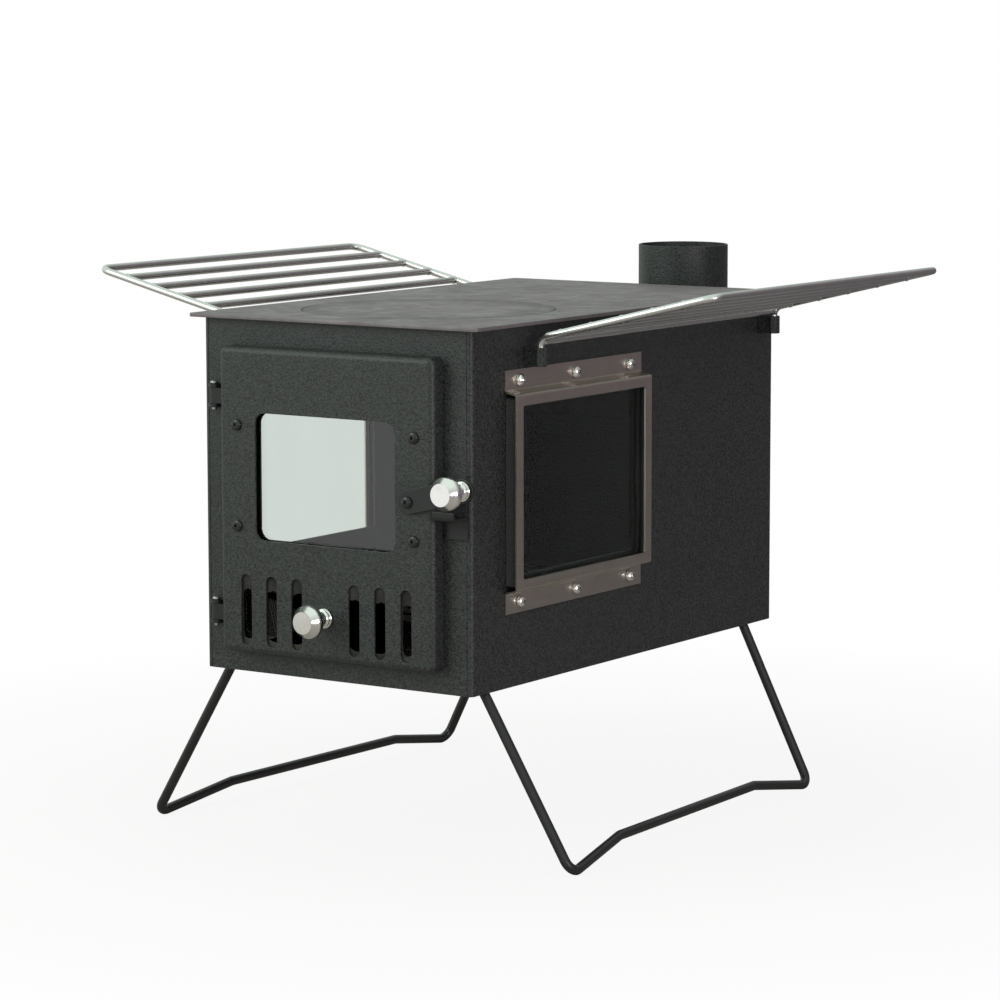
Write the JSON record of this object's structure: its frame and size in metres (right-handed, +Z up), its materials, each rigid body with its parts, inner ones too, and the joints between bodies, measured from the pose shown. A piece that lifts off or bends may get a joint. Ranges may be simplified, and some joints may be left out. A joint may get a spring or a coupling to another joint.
{
  "type": "tent wood stove",
  "caption": "Sheet steel firebox on folding wire legs, with a glazed door, side windows, a lift-out hot plate, side racks and a rear flue elbow.",
  "frame": {"origin": "on the floor under the middle of the whole set", "axes": "+Z up, -Y towards the door, +X to the right of someone facing the door"},
  "size_m": [0.6066, 0.618, 0.4574],
  "materials": {
    "heat_paint": "matte heat-proof paint with a fine grain",
    "bare_plate": "bare mill-finished steel, mottled by heat",
    "fire_darkened_steel": "bare steel darkened by the fire",
    "window_frame_steel": "brushed stainless sheet",
    "side_glass": "clear heat-proof glass over a dark firebox",
    "rope_seal": "woven glass-fibre seal",
    "polished_steel": "polished turned steel",
    "satin_black_steel": "satin black",
    "door_glass": "clear heat-proof glass",
    "rack_steel": "bright drawn wire"
  },
  "bodies": {
    "stove_body": {"firebox_shell": "heat_paint", "front_panel": "heat_paint", "floor_plate": "heat_paint", "flue_elbow": "heat_paint", "flue_ring": "heat_paint", "left_front_rack_socket": "heat_paint", "left_rear_rack_socket": "heat_paint", "right_front_rack_socket": "heat_paint", "right_rear_rack_socket": "heat_paint", "left_front_leg_lug": "heat_paint", "left_rear_leg_lug": "heat_paint", "right_front_leg_lug": "heat_paint", "right_rear_leg_lug": "heat_paint", "top_plate": "bare_plate", "fire_grate": "fire_darkened_steel", "flue_baffle": "fire_darkened_steel", "left_window_frame": "window_frame_steel", "right_window_frame": "window_frame_steel", "left_window_glass": "side_glass", "right_window_glass": "side_glass", "left_window_gasket": "rope_seal", "right_window_gasket": "rope_seal", "left_window_screw_1": "polished_steel", "left_window_screw_2": "polished_steel", "left_window_screw_3": "polished_steel", "left_window_screw_4": "polished_steel", "left_window_screw_5": "polished_steel", "left_window_screw_6": "polished_steel", "right_window_screw_1": "polished_steel", "right_window_screw_2": "polished_steel", "right_window_screw_3": "polished_steel", "right_window_screw_4": "polished_steel", "right_window_screw_5": "polished_steel", "right_window_screw_6": "polished_steel", "upper_hinge_pin": "polished_steel", "lower_hinge_pin": "polished_steel", "upper_hinge_bracket": "satin_black_steel", "lower_hinge_bracket": "satin_black_steel", "latch_keeper": "satin_black_steel"},
    "door": {"door_panel": "heat_paint", "upper_door_knuckle": "satin_black_steel", "lower_door_knuckle": "satin_black_steel", "door_glass": "door_glass", "door_glass_gasket": "rope_seal", "door_glass_frame": "satin_black_steel", "latch_pivot_screw": "satin_black_steel", "air_shutter_guide": "satin_black_steel", "door_screw_1": "satin_black_steel", "door_screw_2": "satin_black_steel", "door_screw_3": "satin_black_steel", "door_screw_4": "satin_black_steel"},
    "latch": {"latch_lever": "satin_black_steel", "latch_knob": "polished_steel"},
    "air_control": {"air_shutter": "satin_black_steel", "air_knob": "polished_steel"},
    "left_leg_frame": {"left_leg": "satin_black_steel"},
    "right_leg_frame": {"right_leg": "satin_black_steel"},
    "left_rack_frame": {"left_rack": "rack_steel"},
    "right_rack_frame": {"right_rack": "rack_steel"},
    "hot_plate": {"hot_plate_lid": "bare_plate"}
  },
  "joints": [
    {"name": "door_swing", "type": "hinge", "parent": "stove_body", "child": "door", "pos_m": [-0.114, -0.26785, 0.2729], "axis": [0, 0, 1], "range_deg": [-150, 0]},
    {"name": "latch_lift", "type": "hinge", "parent": "door", "child": "latch", "pos_m": [0.082, -0.27785, 0.2887], "axis": [0, -1, 0], "range_deg": [-13, 45]},
    {"name": "air_slide", "type": "slide", "parent": "door", "child": "air_control", "axis": [1, 0, 0], "range_m": [-0.0125, 0]},
    {"name": "left_leg_fold", "type": "hinge", "parent": "stove_body", "child": "left_leg_frame", "pos_m": [-0.119, -0.0336, 0.1448], "axis": [0, -1, 0], "range_deg": [0, 116]},
    {"name": "right_leg_fold", "type": "hinge", "parent": "stove_body", "child": "right_leg_frame", "pos_m": [0.119, -0.0336, 0.1448], "axis": [0, 1, 0], "range_deg": [0, 101]},
    {"name": "left_rack_lift", "type": "slide", "parent": "stove_body", "child": "left_rack_frame", "axis": [0, 0, 1], "range_m": [0, 0.03]},
    {"name": "right_rack_lift", "type": "slide", "parent": "stove_body", "child": "right_rack_frame", "axis": [0, 0, 1], "range_m": [0, 0.03]},
    {"name": "hot_plate_lift", "type": "slide", "parent": "stove_body", "child": "hot_plate", "axis": [0, 0, 1], "range_m": [0, 0.05]}
  ]
}
